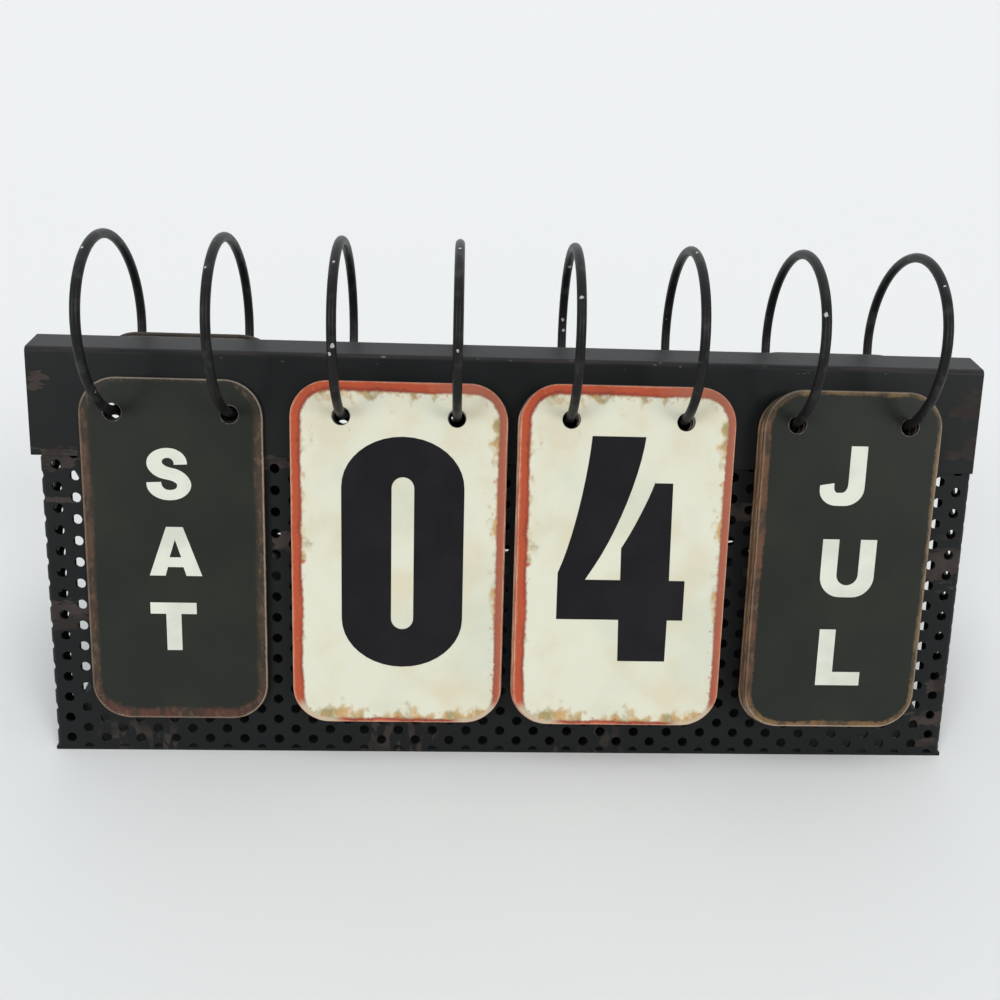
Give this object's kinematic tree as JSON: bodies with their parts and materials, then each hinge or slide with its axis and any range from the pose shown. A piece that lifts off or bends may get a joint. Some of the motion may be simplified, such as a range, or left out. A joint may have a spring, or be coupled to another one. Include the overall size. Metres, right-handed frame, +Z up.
{
  "type": "perpetual flip calendar",
  "caption": "Perpetual desk calendar: an A-shaped stand of perforated black sheet steel on a plain base, whose folded cap carries wire rings with hanging day, number and month cards.",
  "frame": {"origin": "on the table, under the middle of the stand", "axes": "+X along the stand, from the day cards to the month cards; +Y from the front to the back; +Z up"},
  "size_m": [0.3306, 0.1282, 0.1711],
  "materials": {
    "black_paint": "satin, rubbed through at the edges, with brown and grey patches",
    "wire_black": "satin, with chips",
    "slate_paint": "satin, with a rusty rubbed border and off-white letters",
    "cream_paint": "satin, with an orange-red border, an ochre rubbed edge and near-black numerals"
  },
  "bodies": {
    "stand": {"cap": "black_paint", "front_sheet": "black_paint", "back_sheet": "black_paint", "base_sheet": "black_paint", "front_left_lip": "black_paint", "front_right_lip": "black_paint", "back_left_lip": "black_paint", "back_right_lip": "black_paint"},
    "day_rings": {"day_ring_left": "wire_black", "day_ring_right": "wire_black"},
    "day_card_sat": {"day_card_sat": "slate_paint"},
    "day_card_sun": {"day_card_sun": "slate_paint"},
    "day_card_mon": {"day_card_mon": "slate_paint"},
    "day_card_tue": {"day_card_tue": "slate_paint"},
    "day_card_wed": {"day_card_wed": "slate_paint"},
    "day_card_thu": {"day_card_thu": "slate_paint"},
    "day_card_fri": {"day_card_fri": "slate_paint"},
    "tens_rings": {"tens_ring_left": "wire_black", "tens_ring_right": "wire_black"},
    "tens_card_3": {"tens_card_3": "cream_paint"},
    "tens_card_2": {"tens_card_2": "cream_paint"},
    "tens_card_1": {"tens_card_1": "cream_paint"},
    "tens_card_0": {"tens_card_0": "cream_paint"},
    "units_rings": {"units_ring_left": "wire_black", "units_ring_right": "wire_black"},
    "units_card_9": {"units_card_9": "cream_paint"},
    "units_card_8": {"units_card_8": "cream_paint"},
    "units_card_7": {"units_card_7": "cream_paint"},
    "units_card_6": {"units_card_6": "cream_paint"},
    "units_card_5": {"units_card_5": "cream_paint"},
    "units_card_4": {"units_card_4": "cream_paint"},
    "units_card_0": {"units_card_0": "cream_paint"},
    "units_card_1": {"units_card_1": "cream_paint"},
    "units_card_2": {"units_card_2": "cream_paint"},
    "units_card_3": {"units_card_3": "cream_paint"},
    "month_rings": {"month_ring_left": "wire_black", "month_ring_right": "wire_black"},
    "month_card_dec": {"month_card_dec": "slate_paint"},
    "month_card_nov": {"month_card_nov": "slate_paint"},
    "month_card_oct": {"month_card_oct": "slate_paint"},
    "month_card_sep": {"month_card_sep": "slate_paint"},
    "month_card_aug": {"month_card_aug": "slate_paint"},
    "month_card_jul": {"month_card_jul": "slate_paint"},
    "month_card_jan": {"month_card_jan": "slate_paint"},
    "month_card_feb": {"month_card_feb": "slate_paint"},
    "month_card_mar": {"month_card_mar": "slate_paint"},
    "month_card_apr": {"month_card_apr": "slate_paint"},
    "month_card_may": {"month_card_may": "slate_paint"},
    "month_card_jun": {"month_card_jun": "slate_paint"}
  },
  "joints": [
    {"name": "day_rings_turn", "type": "hinge", "parent": "stand", "child": "day_rings", "pos_m": [-0.117, 0, 0.1403], "axis": [1, 0, 0], "range_deg": [-280.4, 0]},
    {"name": "day_card_sat_tilt", "type": "hinge", "parent": "day_rings", "child": "day_card_sat", "pos_m": [-0.117, -0.01476, 0.11511], "axis": [1, 0, 0], "range_deg": [-31.95, 0]},
    {"name": "day_card_fri_flip", "type": "hinge", "parent": "day_card_thu", "child": "day_card_fri", "pos_m": [-0.117, 0, 0.1403], "axis": [1, 0, 0], "range_deg": [0, 220]},
    {"name": "tens_rings_turn", "type": "hinge", "parent": "tens_card_1", "child": "tens_rings", "pos_m": [-0.039, 0, 0.1403], "axis": [1, 0, 0], "range_deg": [-278.6, 0]},
    {"name": "tens_card_0_tilt", "type": "hinge", "parent": "tens_rings", "child": "tens_card_0", "pos_m": [-0.039, -0.0178, 0.11715], "axis": [1, 0, 0], "range_deg": [-21.73, 0]},
    {"name": "units_rings_turn", "type": "hinge", "parent": "units_card_5", "child": "units_rings", "pos_m": [0.039, 0, 0.1403], "axis": [1, 0, 0], "range_deg": [-256, 0]},
    {"name": "units_card_4_tilt", "type": "hinge", "parent": "units_rings", "child": "units_card_4", "pos_m": [0.039, -0.01972, 0.11877], "axis": [1, 0, 0], "range_deg": [-36.3, 0]},
    {"name": "units_card_3_flip", "type": "hinge", "parent": "units_card_2", "child": "units_card_3", "pos_m": [0.039, 0, 0.1403], "axis": [1, 0, 0], "range_deg": [0, 228]},
    {"name": "month_rings_turn", "type": "hinge", "parent": "month_card_aug", "child": "month_rings", "pos_m": [0.117, 0, 0.1403], "axis": [1, 0, 0], "range_deg": [-251, 0]},
    {"name": "month_card_jul_tilt", "type": "hinge", "parent": "month_rings", "child": "month_card_jul", "pos_m": [0.117, -0.01972, 0.11877], "axis": [1, 0, 0], "range_deg": [-41.29, 0]},
    {"name": "month_card_jun_flip", "type": "hinge", "parent": "month_card_may", "child": "month_card_jun", "pos_m": [0.117, 0, 0.1403], "axis": [1, 0, 0], "range_deg": [0, 220]},
    {"name": "day_card_sun_swing", "type": "hinge", "parent": "stand", "child": "day_card_sun", "pos_m": [-0.117, 0, 0.1403], "axis": [1, 0, 0], "range_deg": [0, 4]},
    {"name": "day_card_mon_swing", "type": "hinge", "parent": "day_card_sun", "child": "day_card_mon", "pos_m": [-0.117, 0, 0.1403], "axis": [1, 0, 0], "range_deg": [0, 4]},
    {"name": "day_card_tue_swing", "type": "hinge", "parent": "day_card_mon", "child": "day_card_tue", "pos_m": [-0.117, 0, 0.1403], "axis": [1, 0, 0], "range_deg": [0, 4]},
    {"name": "day_card_wed_swing", "type": "hinge", "parent": "day_card_tue", "child": "day_card_wed", "pos_m": [-0.117, 0, 0.1403], "axis": [1, 0, 0], "range_deg": [0, 4]},
    {"name": "day_card_thu_swing", "type": "hinge", "parent": "day_card_wed", "child": "day_card_thu", "pos_m": [-0.117, 0, 0.1403], "axis": [1, 0, 0], "range_deg": [0, 4]},
    {"name": "tens_card_3_swing", "type": "hinge", "parent": "stand", "child": "tens_card_3", "pos_m": [-0.039, 0, 0.1403], "axis": [1, 0, 0], "range_deg": [-4, 0]},
    {"name": "tens_card_2_swing", "type": "hinge", "parent": "tens_card_3", "child": "tens_card_2", "pos_m": [-0.039, 0, 0.1403], "axis": [1, 0, 0], "range_deg": [-4, 0]},
    {"name": "tens_card_1_swing", "type": "hinge", "parent": "tens_card_2", "child": "tens_card_1", "pos_m": [-0.039, 0, 0.1403], "axis": [1, 0, 0], "range_deg": [-4, 0]},
    {"name": "units_card_9_swing", "type": "hinge", "parent": "stand", "child": "units_card_9", "pos_m": [0.039, 0, 0.1403], "axis": [1, 0, 0], "range_deg": [-4, 0]},
    {"name": "units_card_8_swing", "type": "hinge", "parent": "units_card_9", "child": "units_card_8", "pos_m": [0.039, 0, 0.1403], "axis": [1, 0, 0], "range_deg": [-4, 0]},
    {"name": "units_card_7_swing", "type": "hinge", "parent": "units_card_8", "child": "units_card_7", "pos_m": [0.039, 0, 0.1403], "axis": [1, 0, 0], "range_deg": [-4, 0]},
    {"name": "units_card_6_swing", "type": "hinge", "parent": "units_card_7", "child": "units_card_6", "pos_m": [0.039, 0, 0.1403], "axis": [1, 0, 0], "range_deg": [-4, 0]},
    {"name": "units_card_5_swing", "type": "hinge", "parent": "units_card_6", "child": "units_card_5", "pos_m": [0.039, 0, 0.1403], "axis": [1, 0, 0], "range_deg": [-4, 0]},
    {"name": "units_card_0_swing", "type": "hinge", "parent": "stand", "child": "units_card_0", "pos_m": [0.039, 0, 0.1403], "axis": [1, 0, 0], "range_deg": [0, 4]},
    {"name": "units_card_1_swing", "type": "hinge", "parent": "units_card_0", "child": "units_card_1", "pos_m": [0.039, 0, 0.1403], "axis": [1, 0, 0], "range_deg": [0, 4]},
    {"name": "units_card_2_swing", "type": "hinge", "parent": "units_card_1", "child": "units_card_2", "pos_m": [0.039, 0, 0.1403], "axis": [1, 0, 0], "range_deg": [0, 4]},
    {"name": "month_card_dec_swing", "type": "hinge", "parent": "stand", "child": "month_card_dec", "pos_m": [0.117, 0, 0.1403], "axis": [1, 0, 0], "range_deg": [-4, 0]},
    {"name": "month_card_nov_swing", "type": "hinge", "parent": "month_card_dec", "child": "month_card_nov", "pos_m": [0.117, 0, 0.1403], "axis": [1, 0, 0], "range_deg": [-4, 0]},
    {"name": "month_card_oct_swing", "type": "hinge", "parent": "month_card_nov", "child": "month_card_oct", "pos_m": [0.117, 0, 0.1403], "axis": [1, 0, 0], "range_deg": [-4, 0]},
    {"name": "month_card_sep_swing", "type": "hinge", "parent": "month_card_oct", "child": "month_card_sep", "pos_m": [0.117, 0, 0.1403], "axis": [1, 0, 0], "range_deg": [-4, 0]},
    {"name": "month_card_aug_swing", "type": "hinge", "parent": "month_card_sep", "child": "month_card_aug", "pos_m": [0.117, 0, 0.1403], "axis": [1, 0, 0], "range_deg": [-4, 0]},
    {"name": "month_card_jan_swing", "type": "hinge", "parent": "stand", "child": "month_card_jan", "pos_m": [0.117, 0, 0.1403], "axis": [1, 0, 0], "range_deg": [0, 4]},
    {"name": "month_card_feb_swing", "type": "hinge", "parent": "month_card_jan", "child": "month_card_feb", "pos_m": [0.117, 0, 0.1403], "axis": [1, 0, 0], "range_deg": [0, 4]},
    {"name": "month_card_mar_swing", "type": "hinge", "parent": "month_card_feb", "child": "month_card_mar", "pos_m": [0.117, 0, 0.1403], "axis": [1, 0, 0], "range_deg": [0, 4]},
    {"name": "month_card_apr_swing", "type": "hinge", "parent": "month_card_mar", "child": "month_card_apr", "pos_m": [0.117, 0, 0.1403], "axis": [1, 0, 0], "range_deg": [0, 4]},
    {"name": "month_card_may_swing", "type": "hinge", "parent": "month_card_apr", "child": "month_card_may", "pos_m": [0.117, 0, 0.1403], "axis": [1, 0, 0], "range_deg": [0, 4]}
  ],
  "couplings": [
    {"joint": "day_card_sat_tilt", "follows": "day_rings_turn", "ratio": 0.11394},
    {"joint": "tens_card_0_tilt", "follows": "tens_rings_turn", "ratio": 0.07799},
    {"joint": "units_card_4_tilt", "follows": "units_rings_turn", "ratio": 0.14179},
    {"joint": "month_card_jul_tilt", "follows": "month_rings_turn", "ratio": 0.1645}
  ]
}
